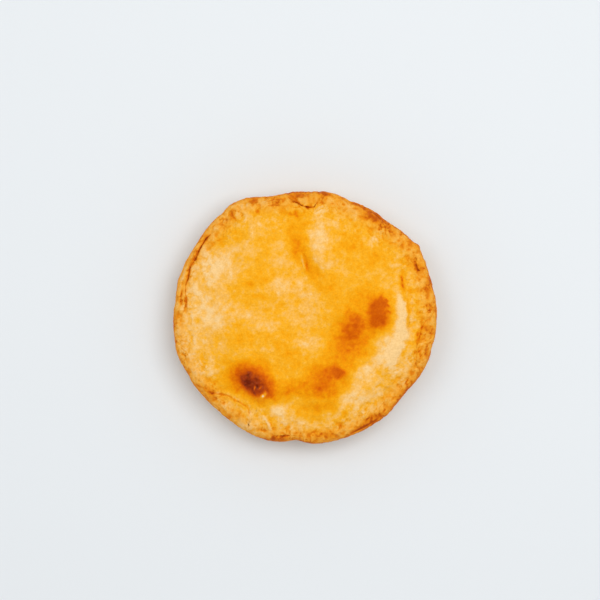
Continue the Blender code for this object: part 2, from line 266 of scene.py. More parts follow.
def formed_top(blank_radius, angle):
    """A place on the lid or the rim, and how far it lies from the outline and past the crease."""
    reach = outline(angle)
    band, depth, lip = tuck_at(angle)
    crease = reach - band
    blank_crease = RIM_RADIUS - BAND
    if blank_radius < blank_crease:
        radius = blank_radius * crease / blank_crease
    else:
        radius = crease + (blank_radius - blank_crease) * band / BAND
    from_edge, beyond_crease = reach - radius, radius - crease
    x, y = radius * math.cos(angle), radius * math.sin(angle)
    place = Vector((x, y, 0.0))

    slit, vent_lip = vent_shares(x, y)
    height = top_height(from_edge) + summed(x, y, LID_MOUNDS)
    height += sum(rise * arc_share(radius, angle, *arc) for *arc, rise in LID_ARCS)
    height += VENT_LIP * vent_lip - VENT_DEPTH * slit - top_seam_depth(from_edge, angle)
    height += uneven(place, FILLING_LUMPS)
    edge_share = smooth_step(from_edge / SHOULDER_WIDTH)
    craggy = edge_share * (1.0 - smooth_step(from_edge / CRAG_REACH))
    craggy *= towards_side(angle, CRAG_SIDE)
    height += craggy * uneven(place, RIM_CRAGS) + edge_share * uneven(place, RIM_WAVES)

    height -= depth * math.exp(-((beyond_crease / CREASE_WIDTH) ** 2))
    if beyond_crease > 0.0:
        fold = FOLD_KEPT + (1.0 - FOLD_KEPT) * math.exp(-beyond_crease / FOLD_RUN)
        height += lip * smooth_step(beyond_crease / LIP_ROUNDING) * fold * edge_share
        if beyond_crease < LIP_WIDTH and depth > 0.0:
            leaning = LIP_LEAN * smooth_step(depth / LEAN_DEPTH)
            radius -= leaning * math.sin(math.pi * beyond_crease / LIP_WIDTH)
    return Vector((radius * math.cos(angle), radius * math.sin(angle), height)), from_edge, beyond_crease


# The wall and the base, shaped by the tin: the wall leans in towards a rounded corner, the rim
# hangs over it a little, and the seam and a few crags run round it.
RIM_OVERHANG = 0.0013
OVERHANG_RUN = 0.0050  # height over which the wall draws in under the rim
SIDE_LEAN = math.radians(12.0)
BASE_CORNER = 0.0035
CORNER_LIFT = 0.5  # crags and seam start this share of the corner above the table
BASE_SHARE = 0.35  # the tin held the base rounder than the free rim, which it follows this much
SIDE_CRAGS = ((0.0120, 0.0009), (0.0042, 0.0004))
SIDE_FLATTENING = 1.6  # lumps on the wall are longer than they are high


def formed_side(blank_radius, angle, height):
    """A place on the wall or the base, which is flat where it lies on the table."""
    share = smooth_step(height / RIM_HEIGHT)
    follow = BASE_SHARE + (1.0 - BASE_SHARE) * share
    radius = blank_radius * (1.0 + follow * (outline(angle) / RIM_RADIUS - 1.0))
    flattened = SIDE_FLATTENING * height
    place = Vector((radius * math.cos(angle), radius * math.sin(angle), flattened))
    foot = smooth_step(height / BASE_CORNER - CORNER_LIFT)
    under_rim = smooth_step((RIM_HEIGHT - height) / OVERHANG_RUN)
    seam = SIDE_SEAM_HEIGHT + uneven(Vector((place.x, place.y, 0.0)), SEAM_WANDER)
    radius += foot * under_rim * uneven(place, SIDE_CRAGS)
    radius -= foot * SIDE_SEAM_DEPTH * math.exp(-(((height - seam) / SEAM_WIDTH) ** 2))
    return Vector((radius * math.cos(angle), radius * math.sin(angle), height))


# The crust itself: a disc of dough in even little squares, laid over the filling, with the wall
# and the base drawn down from its edge ring by ring. Its rings crowd together towards the rim.
CRUST_SQUARES = 240  # across the disc
BAND_RINGS = 22  # rings on the rim's edge, then on the wall, round its corner and on the base
SIDE_RINGS = 26
CORNER_RINGS = 5
BASE_RINGS = 6


def lid_ring_radius(ring):
    """Blank radius of a ring of the disc, counted from the middle."""
    lid_rings = CRUST_SQUARES // 2 - BAND_RINGS
    if ring <= lid_rings:
        share = ring / lid_rings
        return (RIM_RADIUS - BAND) * (share + math.sin(math.pi / 2.0 * share)) / 2.0
    share = (ring - lid_rings) / BAND_RINGS
    return RIM_RADIUS - BAND + BAND * (1.0 - math.cos(math.pi * share)) / 2.0


def disc_place(x, y):
    """(ring, angle) of a point of a square sheet, from -1 to 1, pulled round into a disc."""
    if x == 0.0 and y == 0.0:
        return 0.0, 0.0
    if abs(x) >= abs(y):
        level, angle = abs(x), math.pi / 4.0 * y / x + (math.pi if x < 0.0 else 0.0)
    else:
        level, angle = abs(y), math.pi / 2.0 - math.pi / 4.0 * x / y + (math.pi if y < 0.0 else 0.0)
    return level * CRUST_SQUARES / 2.0, angle


def wall_rings():
    """(radius, height) of each ring from under the rim to the base's middle."""
    rings = []
    for ring in range(1, SIDE_RINGS):
        drop = (RIM_HEIGHT - BASE_CORNER) * ring / SIDE_RINGS
        overhang = RIM_OVERHANG * smooth_step(drop / OVERHANG_RUN)
        rings.append((RIM_RADIUS - drop * math.tan(SIDE_LEAN) - overhang, RIM_HEIGHT - drop))
    side_foot = RIM_RADIUS - (RIM_HEIGHT - BASE_CORNER) * math.tan(SIDE_LEAN) - RIM_OVERHANG
    for ring in range(CORNER_RINGS + 1):
        turn = math.pi / 2.0 * ring / CORNER_RINGS
        reach = side_foot - BASE_CORNER * (1.0 - math.cos(turn))
        rings.append((reach, BASE_CORNER * (1.0 - math.sin(turn))))
    flat = side_foot - BASE_CORNER
    return rings + [(flat * (1.0 - ring / BASE_RINGS), 0.0) for ring in range(1, BASE_RINGS + 1)]


# Fine relief on top of the form, along the skin's own normal: little bubbles all over, wrinkles,
# pocks and short cracks in the thin dough near the rim, flaky layers round the wall, a bubbly skin
# on the burn. (size, height)
BUBBLES = ((0.0046, 0.00034), (0.0022, 0.00026), (0.0013, 0.00012))
CALM_EDGE = (0.0045, 0.40)  # next to the outline it is calmer: (over this width, down to this share)
WRINKLES = ((0.0075, 0.00026), (0.0036, 0.00030))
WRINKLE_REACH = 0.0200
WRINKLE_PULL = (1.35, 0.75)  # finer across and longer along, so they run away from the eater
RIDGE_SHARPNESS = 3.0


def ridged(point, layers):
    """Sharp winding ridges, as in wrinkled skin."""
    return sum(
        height * (1.0 - RIDGE_SHARPNESS * abs(noise.noise(point / size))) for size, height in layers
    )


# Pocks: steam pushed up little bubbles and they fell in. They crowd near the rim.
POCKS = ((0.0031, 1.0), (0.0015, 0.5))
POCK_START, POCK_FULL = 0.02, 0.50  # noise where a pock starts, and where it is at its deepest
POCK_DEPTH = 0.00048
POCK_REACH, POCK_CROWD = 0.0170, 0.4  # they thin out over this distance, from this share of it on
POCK_SIDE = (40.0, 0.25)
POCKS_INSIDE = 0.30  # share of their depth left on the rest of the lid


def pocked(point, from_edge):
    """How deep a place lies in one of the pocks."""
    reach = POCK_REACH * towards_side(math.atan2(point.y, point.x), POCK_SIDE)
    crowd = POCKS_INSIDE + (1.0 - POCKS_INSIDE) * (1.0 - smooth_step(from_edge / reach - POCK_CROWD))
    return crowd * smooth_step((-uneven(point, POCKS) - POCK_START) / (POCK_FULL - POCK_START))


# Short cracks, in patches: where a noise passes through zero it draws a winding line.
CRACKS = ((0.0050, 0.085), (0.0031, 0.100))  # (size of the windings, half-width of the line)
CRACK_PATCHES = (0.0075, 0.00, 0.16)  # (size, noise where a patch starts and where it is full)
CRACK_DEPTH = 0.00036
CRACK_REACH, CRACK_CROWD = 0.0190, 0.2  # they thin out in the same way, till there are none
SIDEWAYS = Vector((0.41, 0.17, 0.73))  # far enough off to find other noise


def cracked(point, from_edge):
    """How far a place lies in one of the short cracks."""
    size, start, full = CRACK_PATCHES
    patch = smooth_step((noise.noise(point / size + SIDEWAYS) - start) / (full - start))
    patch *= 1.0 - smooth_step(from_edge / CRACK_REACH - CRACK_CROWD)
    lines = (1.0 - abs(noise.noise(point / size + SIDEWAYS)) / width for size, width in CRACKS)
    return patch * smooth_step(max(lines))


# The burn's skin is a net of fine bubbles with a few hard beads. (x, y, half-length, half-width,
# degrees, for a bead its height, edge)
BURNT_BLISTER = (-0.0288, -0.0408, 0.0118, 0.0070, -48.0, 2)
BURNT_BUBBLES = ((0.0030, 0.00032), (0.0016, 0.00018))
BURNT_BEADS = (
    (-0.0246, -0.0474, 0.0024, 0.0011, 38.0, 0.0008, 1),
    (-0.0270, -0.0478, 0.0016, 0.0010, 30.0, 0.0005, 1),
    (-0.0309, -0.0427, 0.0015, 0.0007, 84.0, 0.0004, 1),
    (-0.0324, -0.0436, 0.0011, 0.0006, 84.0, 0.0003, 1),
    (-0.0340, -0.0380, 0.0022, 0.0008, -60.0, 0.0003, 1),
)
# The wall's flaky layers are thinner than they are long, with weaker bubbles between them.
FLAKY_LAYERS = ((0.0090, 0.00045), (0.0040, 0.00025))
LAYER_THINNESS = 4.5
WALL_BUBBLES = 0.5
RELIEF_LIFT = 0.3  # the wall's relief starts this share of the corner above the table


def top_relief(point, from_edge):
    relief = uneven(point, BUBBLES) - POCK_DEPTH * pocked(point, from_edge)
    relief -= CRACK_DEPTH * cracked(point, from_edge)
    pulled = Vector((point.x * WRINKLE_PULL[0], point.y * WRINKLE_PULL[1], point.z))
    relief += (1.0 - smooth_step(from_edge / WRINKLE_REACH)) * ridged(pulled, WRINKLES)
    width, calm = CALM_EDGE
    relief *= calm + (1.0 - calm) * smooth_step(from_edge / width)
    relief += spot_share(point.x, point.y, *BURNT_BLISTER) * ridged(point, BURNT_BUBBLES)
    return relief + summed(point.x, point.y, BURNT_BEADS)


def wall_relief(point):
    width, calm = CALM_EDGE
    foot = smooth_step(point.z / BASE_CORNER - RELIEF_LIFT)
    near_rim = 1.0 - smooth_step((RIM_HEIGHT - point.z) / width)
    layered = Vector((point.x, point.y, LAYER_THINNESS * point.z))
    relief = uneven(layered, FLAKY_LAYERS) + WALL_BUBBLES * uneven(point, BUBBLES)
    return foot * relief * (1.0 - (1.0 - calm) * near_rim)


# How the oven and the brush coloured it, as a degree of baking from 0, pale, to 1, burnt black. Egg
# wash pooled in the hollows and baked to a clear deep yellow; raised and rubbed places stayed pale;
# the rim and the blisters browned, one burnt. Painted light is mixed in: a sheen on the left slope
# and glints on the burn painted pale as highlights, and the creases painted darker as shade.
# Each spot: (x, y, half-length, half-width, degrees, strength, edge)
WASH_POOLS = (
    (0.0315, -0.0055, 0.0285, 0.0155, 64.0, 1.00, 2),
    (0.0445, 0.0022, 0.0136, 0.0070, 76.0, 1.00, 2),
    (0.0120, -0.0385, 0.0145, 0.0120, 30.0, 1.00, 2),
    (0.0520, 0.0110, 0.0060, 0.0030, 86.0, 0.60, 1),
    (0.0240, 0.0340, 0.0110, 0.0070, -30.0, 0.45, 1),
    (-0.0130, -0.0430, 0.0220, 0.0060, 2.0, 0.90, 2),
    (-0.0320, -0.0370, 0.0172, 0.0126, -25.0, 1.00, 2),
    (-0.0040, 0.0470, 0.0180, 0.0062, -78.0, 0.70, 2),
    (0.0030, 0.0300, 0.0090, 0.0042, -60.0, 0.90, 2),
    (0.0130, 0.0180, 0.0120, 0.0060, -28.0, 0.60, 1),
    (0.0255, 0.0445, 0.0060, 0.0070, 80.0, 0.70, 1),
    (0.0400, 0.0320, 0.0120, 0.0070, 10.0, 0.70, 1),
    (0.0725, -0.0110, 0.0140, 0.0040, 84.0, 0.60, 1),
    (0.0700, -0.0100, 0.0080, 0.0026, 67.0, 1.00, 2),
    (0.0090, -0.0550, 0.0130, 0.0052, -4.0, 0.85, 1),
    (-0.0290, 0.0210, 0.0080, 0.0050, 10.0, 0.50, 1),
    (-0.0290, 0.0110, 0.0060, 0.0035, 0.0, 0.55, 1),
    (-0.0400, -0.0160, 0.0080, 0.0050, 0.0, 0.55, 1),
    (-0.0100, -0.0270, 0.0060, 0.0080, 10.0, 0.50, 1),
    (-0.0450, 0.0510, 0.0090, 0.0050, 30.0, 0.40, 1),
    (-0.0530, 0.0470, 0.0090, 0.0055, 50.0, 0.55, 1),
    (-0.0580, -0.0430, 0.0060, 0.0035, -25.0, 0.60, 1),
)
WASH_LINES = (
    (0.0588, 0.0190, 0.0085, 0.0017, 95.0, 0.90, 1),
    (0.0620, 0.0035, 0.0085, 0.0013, 87.0, 0.80, 1),
)
PALE_AND_SHEEN_PLACES = (
    # The first four and the one at x -0.0640, y 0.0300 lie on the left slope: pale crust, and also a
    # painted highlight, the sheen of the light on the left.
    (-0.0555, 0.0300, 0.0140, 0.0115, 75.0, 0.88, 1),
    (-0.0565, -0.0020, 0.0130, 0.0100, 50.0, 0.62, 1),
    (-0.0640, 0.0110, 0.0160, 0.0080, 86.0, 0.55, 1),
    (-0.0600, -0.0130, 0.0110, 0.0100, 60.0, 0.35, 1),
    (0.0080, 0.0470, 0.0160, 0.0052, 92.0, 0.76, 1),
    (0.0160, 0.0310, 0.0052, 0.0040, 60.0, 0.60, 1),
    (-0.0130, 0.0190, 0.0080, 0.0058, 10.0, 0.50, 1),
    (-0.0030, 0.0215, 0.0090, 0.0050, -35.0, 0.45, 1),
    (-0.0030, 0.0120, 0.0080, 0.0050, -20.0, 0.35, 1),
    (-0.0020, -0.0020, 0.0110, 0.0050, -5.0, 0.30, 1),
    (0.0480, -0.0205, 0.0150, 0.0056, 50.0, 1.00, 1),
    (0.0365, -0.0320, 0.0120, 0.0056, 52.0, 0.65, 1),
    (-0.0090, 0.0655, 0.0035, 0.0022, 0.0, 0.50, 1),
    (0.0280, -0.0470, 0.0110, 0.0045, 55.0, 0.65, 1),
    (-0.0610, -0.0400, 0.0050, 0.0035, -50.0, 0.40, 1),
    (-0.0360, -0.0560, 0.0090, 0.0026, -40.0, 0.40, 1),
    (0.0390, -0.0470, 0.0130, 0.0090, 50.0, 0.55, 1),
    (0.0310, -0.0560, 0.0070, 0.0040, 60.0, 0.40, 1),
    (0.0560, -0.0270, 0.0090, 0.0060, 60.0, 0.45, 1),
    (-0.0145, -0.0565, 0.0055, 0.0062, 80.0, 0.80, 1),
    (-0.0040, -0.0650, 0.0110, 0.0040, 4.0, 0.50, 1),
    (-0.0545, -0.0400, 0.0110, 0.0060, -55.0, 0.35, 1),
    (0.0170, 0.0590, 0.0080, 0.0060, 0.0, 0.30, 1),
    (0.0560, 0.0310, 0.0090, 0.0070, 120.0, 0.25, 1),
    (0.0150, -0.0590, 0.0080, 0.0040, 10.0, 0.30, 1),
    (-0.0420, -0.0580, 0.0110, 0.0050, -40.0, 0.35, 1),
    (0.0195, -0.0580, 0.0050, 0.0024, 50.0, 0.90, 1),
    (-0.0375, 0.0440, 0.0055, 0.0032, 80.0, 0.40, 1),
    (0.0410, 0.0445, 0.0050, 0.0034, 80.0, 0.45, 1),
    (-0.0640, 0.0300, 0.0140, 0.0060, 66.0, 0.45, 1),
    (-0.0350, 0.0010, 0.0040, 0.0026, 0.0, 0.65, 1),
    (0.0510, 0.0190, 0.0040, 0.0030, 0.0, 0.55, 1),
    (0.0020, -0.0150, 0.0110, 0.0035, 0.0, 0.30, 1),
)
# The pale crest of the long ridge: (radius, from, to in degrees, half-width), and its strength
PALE_CRESCENT, CRESCENT_PALENESS = (0.0582, -36.0, 16.0, 0.0050), 1.12
BROWNED_SPOTS = (
    (-0.0325, -0.0396, 0.0168, 0.0116, -26.0, 0.13, 2),
    (-0.0277, -0.0410, 0.0132, 0.0078, -46.0, 0.17, 2),
    (-0.0320, -0.0398, 0.0098, 0.0060, -52.0, 0.08, 2),
    (-0.0338, -0.0406, 0.0084, 0.0028, -52.0, 0.06, 2),
    (-0.0235, -0.0458, 0.0045, 0.0038, 0.0, 0.08, 1),
    (0.0454, 0.0021, 0.0130, 0.0080, 84.0, 0.20, 2),
    (0.0425, 0.0024, 0.0078, 0.0042, 86.0, 0.10, 2),
    (0.0450, 0.0100, 0.0046, 0.0040, 90.0, 0.07, 1),
    (0.0440, -0.0040, 0.0060, 0.0030, 20.0, 0.07, 1),
    (0.0488, -0.0060, 0.0034, 0.0026, 0.0, 0.12, 1),
    (0.0288, -0.0050, 0.0090, 0.0072, 62.0, 0.10, 2),
    (0.0297, -0.0040, 0.0032, 0.0026, 70.0, 0.05, 1),
    (0.0245, -0.0165, 0.0155, 0.0095, 62.0, 0.17, 1),
    (-0.0430, -0.0375, 0.0070, 0.0085, 0.0, 0.11, 1),
    (-0.0155, -0.0455, 0.0070, 0.0036, 0.0, 0.04, 1),
    (0.0215, -0.0345, 0.0052, 0.0031, 8.0, 0.26, 2),
    (0.0145, -0.0330, 0.0130, 0.0065, 20.0, 0.17, 1),
    (0.0080, -0.0435, 0.0080, 0.0050, 10.0, 0.14, 1),
    (-0.0052, -0.0446, 0.0042, 0.0030, 0.0, 0.17, 1),
    (0.0170, -0.0480, 0.0045, 0.0034, 0.0, 0.12, 1),
    (-0.0062, 0.0410, 0.0042, 0.0060, 0.0, 0.14, 1),
    (0.0012, 0.0285, 0.0040, 0.0022, -60.0, 0.08, 1),
    (-0.0325, 0.0200, 0.0032, 0.0026, 0.0, 0.16, 1),
    (0.0000, 0.0715, 0.0100, 0.0045, 0.0, 0.14, 1),
    (0.0030, 0.0580, 0.0060, 0.0050, 0.0, 0.10, 1),
    (-0.0740, 0.0050, 0.0140, 0.0034, 92.0, 0.05, 1),
    (0.0400, 0.0606, 0.0105, 0.0040, -34.0, 0.20, 1),
    (0.0420, 0.0584, 0.0064, 0.0026, -36.0, 0.25, 1),
    (0.0500, 0.0500, 0.0080, 0.0030, -45.0, 0.10, 1),
    (0.0500, 0.0520, 0.0130, 0.0050, -45.0, 0.10, 1),
    (0.0122, 0.0737, 0.0030, 0.0017, -15.0, 0.52, 1),
    (-0.0440, 0.0612, 0.0042, 0.0020, 70.0, 0.36, 1),
    (-0.0505, 0.0605, 0.0060, 0.0034, 48.0, -0.22, 1),
    (-0.0410, 0.0665, 0.0040, 0.0030, 30.0, -0.12, 1),
    (-0.0530, 0.0430, 0.0060, 0.0040, 50.0, 0.08, 1),
    (-0.0665, 0.0350, 0.0100, 0.0030, 60.0, 0.18, 1),
    (-0.0284, 0.0634, 0.0042, 0.0034, -10.0, 0.30, 1),
    (-0.0318, 0.0700, 0.0040, 0.0022, 10.0, 0.14, 1),
    (-0.0160, 0.0685, 0.0044, 0.0024, 10.0, 0.20, 1),
    (0.0690, 0.0270, 0.0060, 0.0040, 70.0, 0.10, 1),
    (-0.0075, 0.0615, 0.0034, 0.0012, 0.0, 0.16, 1),
    (-0.0370, 0.0665, 0.0060, 0.0026, 20.0, 0.14, 1),
    (0.0390, -0.0615, 0.0090, 0.0026, 36.0, 0.18, 1),
    (0.0740, 0.0080, 0.0090, 0.0024, 94.0, 0.08, 1),
    (0.0590, 0.0190, 0.0085, 0.0012, 93.0, 0.12, 1),
    (-0.0175, -0.0660, 0.0050, 0.0035, 0.0, 0.12, 1),
    (0.0665, 0.0310, 0.0040, 0.0022, -60.0, 0.18, 1),
    (-0.0150, -0.0700, 0.0075, 0.0035, -8.0, 0.12, 1),
    (0.0100, -0.0715, 0.0090, 0.0034, 4.0, 0.24, 1),
    (-0.0580, -0.0430, 0.0060, 0.0030, -25.0, 0.16, 1),
)
# Small sharp marks: cracks and wrinkles a little browner, the crests of flakes a little paler, and two
# painted highlights.
# (x, y, half-length, half-width, degrees, baking)
FINE_MARKS_AND_GLINTS = (
    # Painted highlights: these first two pale dashes on the burn stand in for glints of the light.
    (-0.0302, -0.0427, 0.0009, 0.0004, 80.0, -0.30),
    (-0.0268, -0.0425, 0.0012, 0.0005, 50.0, -0.14),
    (0.0464, -0.0027, 0.0024, 0.0009, 0.0, 0.13),
    (0.0424, -0.0050, 0.0018, 0.0012, -50.0, 0.13),
    (0.0490, 0.0100, 0.0018, 0.0006, -35.0, 0.24),
    (0.0502, 0.0064, 0.0018, 0.0006, -35.0, 0.24),
    (0.0506, 0.0028, 0.0016, 0.0006, -30.0, 0.20),
    (0.0484, -0.0008, 0.0014, 0.0006, -40.0, 0.16),
    (-0.0660, 0.0365, 0.0095, 0.0008, 60.0, 0.32),
    (-0.0700, 0.0260, 0.0060, 0.0009, 74.0, 0.36),
    (0.0750, 0.0215, 0.0030, 0.0014, 75.0, 0.22),
    (-0.0746, 0.0133, 0.0027, 0.0006, 80.0, 0.30),
    (-0.0720, 0.0051, 0.0030, 0.0008, 92.0, 0.30),
    (-0.0731, 0.0250, 0.0060, 0.0007, 70.0, -0.22),
    (-0.0296, 0.0124, 0.0040, 0.0015, 0.0, 0.12),
    (-0.0012, 0.0669, 0.0013, 0.0008, -20.0, 0.20),
    (0.0030, 0.0662, 0.0023, 0.0007, 5.0, 0.20),
    (-0.0068, 0.0716, 0.0042, 0.0007, -42.0, 0.24),
    (-0.0480, -0.0490, 0.0090, 0.0010, -12.0, 0.12),
    (-0.0392, -0.0532, 0.0050, 0.0010, -38.0, 0.12),
    (0.0705, -0.0245, 0.0036, 0.0009, -62.0, 0.22),
    (0.0224, 0.0687, 0.0026, 0.0008, -50.0, 0.24),
    (-0.0073, 0.0617, 0.0025, 0.0010, 0.0, 0.14),
    (0.0665, 0.0310, 0.0015, 0.0006, -74.0, 0.20),
    (0.0676, 0.0285, 0.0014, 0.0006, -60.0, 0.20),
    (0.0563, 0.0293, 0.0008, 0.0007, 0.0, 0.16),
    (0.0584, 0.0180, 0.0012, 0.0006, 70.0, 0.20),
    (0.0599, 0.0120, 0.0013, 0.0006, -60.0, 0.18),
    (0.0587, 0.0225, 0.0018, 0.0006, 100.0, 0.18),
    (0.0743, 0.0165, 0.0022, 0.0014, 60.0, 0.20),
    (0.0700, -0.0085, 0.0030, 0.0020, 70.0, -0.10),
    (0.0714, -0.0132, 0.0030, 0.0018, 80.0, -0.22),
    (0.0704, -0.0192, 0.0034, 0.0014, 88.0, -0.20),
    (-0.0345, -0.0655, 0.0020, 0.0010, 80.0, -0.16),
    (0.0745, -0.0180, 0.0045, 0.0022, 80.0, -0.14),
    (0.0720, -0.0260, 0.0050, 0.0030, 70.0, -0.14),
    (0.0729, -0.0064, 0.0026, 0.0013, 80.0, 0.20),
    (0.0682, -0.0132, 0.0040, 0.0020, 64.0, 0.14),
    (0.0686, -0.0208, 0.0045, 0.0007, -74.0, 0.24),
    (0.0730, -0.0198, 0.0030, 0.0010, 85.0, 0.18),
    (0.0338, -0.0672, 0.0070, 0.0006, 28.0, 0.34),
    (0.0400, -0.0620, 0.0052, 0.0024, 32.0, 0.12),
    (0.0363, -0.0427, 0.0030, 0.0024, 0.0, 0.10),
    (-0.0616, -0.0427, 0.0020, 0.0007, -30.0, 0.14),
    (-0.0587, -0.0450, 0.0020, 0.0006, -24.0, 0.14),
    (-0.0557, -0.0469, 0.0018, 0.0006, -30.0, 0.14),
    (-0.0526, -0.0457, 0.0014, 0.0010, 0.0, -0.22),
    (-0.0339, -0.0570, 0.0017, 0.0012, -45.0, -0.22),
    (-0.0375, -0.0548, 0.0026, 0.0008, -40.0, 0.20),
    (-0.0375, -0.0600, 0.0040, 0.0013, -20.0, 0.12),
    (-0.0221, -0.0648, 0.0050, 0.0009, -62.0, -0.50),
    (-0.0205, -0.0665, 0.0040, 0.0008, -60.0, 0.20),
    (-0.0180, -0.0740, 0.0060, 0.0009, -5.0, 0.26),
)
# (middle in degrees, half-width in degrees, how far in from the outline, strength)
TOASTED_RIM = (
    (53.0, 18.0, 0.0110, 0.03),
    (33.0, 11.0, 0.0090, 0.12),
    (15.0, 15.0, 0.0075, 0.11),
    (-14.0, 12.0, 0.0060, 0.07),
    (-40.0, 14.0, 0.0050, 0.32),
    (-58.0, 10.0, 0.0045, 0.09),
    (-82.0, 14.0, 0.0046, 0.16),
    (-105.0, 9.0, 0.0045, 0.10),
    (-140.0, 26.0, 0.0060, 0.04),
    (-116.0, 8.0, 0.0060, 0.08),
    (180.0, 26.0, 0.0040, 0.06),
    (140.0, 20.0, 0.0040, 0.07),
    (95.0, 22.0, 0.0050, 0.16),
)
TOASTED_EDGE = (0.0012, 0.14)  # the same, all round
RIM_GOLD = (0.0140, 0.05)  # and a broader one that is only a deeper gold
RIM_DRYNESS = 1.6  # where the rim is that golden it is dry: this many times the share, up to 1
GOLDEN = 0.27  # the lid's baking where nothing is added or taken off
WASH_BAKING, PALE_BAKING, POCK_BAKING, CRACK_BAKING = 0.30, -0.36, 0.10, 0.24
# Creases browned in a line narrower than themselves, in full where they are deepest, and that line
# is painted darker too, as the shade in the crease. The vent's slit browned much less.
CREASE_BROWNING_AND_SHADE, DEEPEST_CREASE, LINE_THINNESS = 0.60, 0.0018, 1.2
SLIT_BROWNING = 0.24
# Hollows of the crags and of the fine relief baked deeper, their crests stayed paler; on the burn
# the fine relief counts for this much less.
HOLLOW_BAKING, RELIEF_BAKING = 0.17, 0.08
HOLLOW_DEPTH, RELIEF_DEPTH = 0.0010, 0.0004
BURN_EVENNESS = 0.8
# Nothing baked browner than this but the creases, darker by a little painted shade, and the burn,
# which went black.
PALEST, DEEPEST_BROWN, CREASE_PAINTED_SHADE = -0.2, 0.84, 0.10
BURN_GROWTH = 2.0  # it may be quite black from half of the blister's share on
BURN_SHINE = (0.08, 0.86, 0.08)  # a little shine on its black: (how much, from, over how much more)
# Painted highlight: a small pale, shiny spot on the burn that stands in for a glint of the light on it.
PAINTED_GLINT = (-0.0249, -0.0472, 0.0017, 0.0007, 38.0, 1)  # pale and shiny where its skin tore
# The borders of the pools and of the browned spots wander. (size, how far)
BORDER_WANDER = ((0.0110, 0.0024), (0.0045, 0.0016))
BROWN_WANDER = ((0.0060, 0.0012), (0.0024, 0.0005))


def strongest(x, y, spots):
    return max(strength * spot_share(x, y, *place, edge) for *place, strength, edge in spots)


def painted(point, from_edge, beyond_crease, relief):
    """(baked, washed, dry, glazed, tinned) at a place on the lid, as shares."""
    x = point.x + uneven(point, BORDER_WANDER)
    y = point.y + uneven(point + SIDEWAYS, BORDER_WANDER)
    washed, pale = strongest(x, y, WASH_POOLS), strongest(x, y, PALE_AND_SHEEN_PLACES)
    x = point.x + uneven(point, BROWN_WANDER)
    y = point.y + uneven(point + SIDEWAYS, BROWN_WANDER)
    angle = math.atan2(point.y, point.x)
    washed = max(washed, strongest(x, y, WASH_LINES))
    pale = max(pale, CRESCENT_PALENESS * arc_share(math.hypot(x, y), angle, *PALE_CRESCENT))
    browned = summed(x, y, BROWNED_SPOTS)
    edge_width, edge_strength = TOASTED_EDGE
    toasted = edge_strength * math.exp(-((from_edge / edge_width) ** 2))
    for middle, half_width, reach, strength in TOASTED_RIM:
        round_rim = math.exp(-((turn_between(angle, middle) / half_width) ** 2))
        toasted += strength * round_rim * math.exp(-((from_edge / reach) ** 2))
    _, depth, _ = tuck_at(angle)
    groove = depth * math.exp(-((LINE_THINNESS * beyond_crease / CREASE_WIDTH) ** 2))
    groove += top_seam_depth(from_edge, angle)
    slit, curled = vent_shares(point.x, point.y)
    # Crease lines: browning and painted shade, darkest where the groove is deepest.
    creased = min(1.0, groove / DEEPEST_CREASE + SLIT_BROWNING * slit)
    pale = max(pale * (1.0 - washed), curled)
    reach, more = RIM_GOLD
    rim_gold = 1.0 - smooth_step(from_edge / reach)
    baked = GOLDEN + WASH_BAKING * washed + PALE_BAKING * pale + browned + toasted + more * rim_gold
    hollow = -uneven(Vector((point.x, point.y, 0.0)), RIM_CRAGS) / HOLLOW_DEPTH
    baked += HOLLOW_BAKING * hollow * (1.0 - smooth_step(from_edge / CRAG_REACH))
    baked += CREASE_BROWNING_AND_SHADE * creased + POCK_BAKING * pocked(point, from_edge)
    baked += CRACK_BAKING * cracked(point, from_edge)
    blistered = spot_share(x, y, *BURNT_BLISTER)
    baked -= RELIEF_BAKING * relief / RELIEF_DEPTH * (1.0 - BURN_EVENNESS * blistered)
    for *place, baking in FINE_MARKS_AND_GLINTS:
        baked += baking * spot_share(point.x, point.y, *place, 1)
    deepest = DEEPEST_BROWN + (1.0 - DEEPEST_BROWN) * smooth_step(BURN_GROWTH * blistered)
    baked = min(baked, deepest + CREASE_PAINTED_SHADE * creased)
    # The painted highlight: the glint's spot is painted pale and given the coat's shine.
    painted_glint = spot_share(point.x, point.y, *PAINTED_GLINT)
    shine, black, run = BURN_SHINE
    glaze_and_painted_glint = max(painted_glint, shine * blistered * smooth_step((baked - black) / run))
    dry = min(1.0, toasted + RIM_DRYNESS * rim_gold)
    return max(PALEST, baked * (1.0 - painted_glint)), washed, dry, glaze_and_painted_glint, 0.0


# The wall took its colour from the tin: pale under the rim, browner towards the foot and on the
# base, in patches longer than they are high. Egg wash was brushed over the rim down to the seam.
WALL_BAKING = (0.10, 0.80)  # (under the rim, at the foot)
WALL_PATCHES = ((0.0140, 0.50), (0.0050, 0.22))
PATCH_THINNESS = 0.5  # beside that of the flaky layers
WASH_BRUSHED = (0.0180, 0.0030)  # (height it reaches down to, width of its border)
BRUSH_WANDER = ((0.0120, 0.0022), (0.0040, 0.0014))
BRUSHED_DRYNESS = 0.6  # of the strip above it


def wall_painted(point):
    """(baked, washed, dry, glazed, tinned) at a place on the wall or the base."""
    brushed_to, border = WASH_BRUSHED
    brushed_to += uneven(Vector((point.x, point.y, 0.0)), BRUSH_WANDER)
    tinned = smooth_step((brushed_to - point.z) / border)
    under_rim, foot = WALL_BAKING
    share = smooth_step((SIDE_SEAM_HEIGHT - point.z) / SIDE_SEAM_HEIGHT)
    layered = Vector((point.x, point.y, PATCH_THINNESS * LAYER_THINNESS * point.z))
    wall_baking = under_rim + (foot - under_rim) * share + uneven(layered, WALL_PATCHES)
    edge_baking = GOLDEN + RIM_GOLD[1] + TOASTED_EDGE[1]
    baked = edge_baking + (wall_baking - edge_baking) * tinned
    return max(0.0, baked), 0.0, BRUSHED_DRYNESS * (1.0 - tinned), 0.0, tinned


